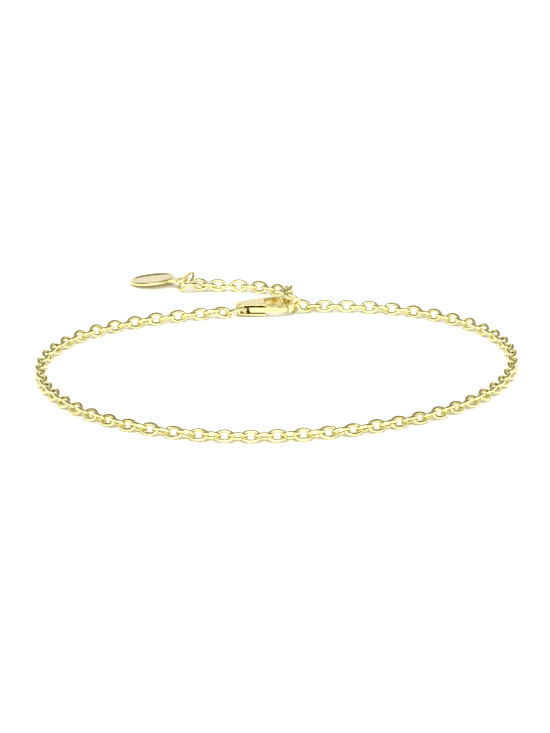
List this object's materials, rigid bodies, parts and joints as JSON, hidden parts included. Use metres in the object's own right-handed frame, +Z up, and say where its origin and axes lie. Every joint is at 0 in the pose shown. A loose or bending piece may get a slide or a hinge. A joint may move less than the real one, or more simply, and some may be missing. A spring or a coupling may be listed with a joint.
{
  "type": "chain bracelet",
  "caption": "Fine gold-coloured cable-chain bracelet with a lobster clasp, a short extender chain and a plain round end tag, lying in a loop.",
  "frame": {"origin": "bottom centre of the bounding box, on the surface that the bracelet lies on", "axes": "+Z up from the surface; +Y from the front of the loop towards the clasp, the extender and the tag; +X to the right"},
  "size_m": [0.057, 0.0694, 0.0034],
  "materials": {
    "chain": "polished yellow gold plating",
    "clasp": "polished yellow gold plating",
    "rings": "polished yellow gold plating",
    "tag": "polished yellow gold plating"
  },
  "bodies": {
    "bracelet": {"main_chain": "chain", "extender_chain": "chain", "clasp_body": "clasp", "tail_ring": "rings", "hook_ring": "rings", "tag_ring": "rings", "end_tag": "tag"},
    "lever": {"clasp_lever": "clasp"}
  },
  "joints": [
    {"name": "lever_hinge", "type": "hinge", "parent": "bracelet", "child": "lever", "pos_m": [-0.00275, 0.01655, 0.00089], "axis": [0, 0, 1], "range_deg": [0, 18], "stiffness_Nm_per_rad": 0.004}
  ]
}
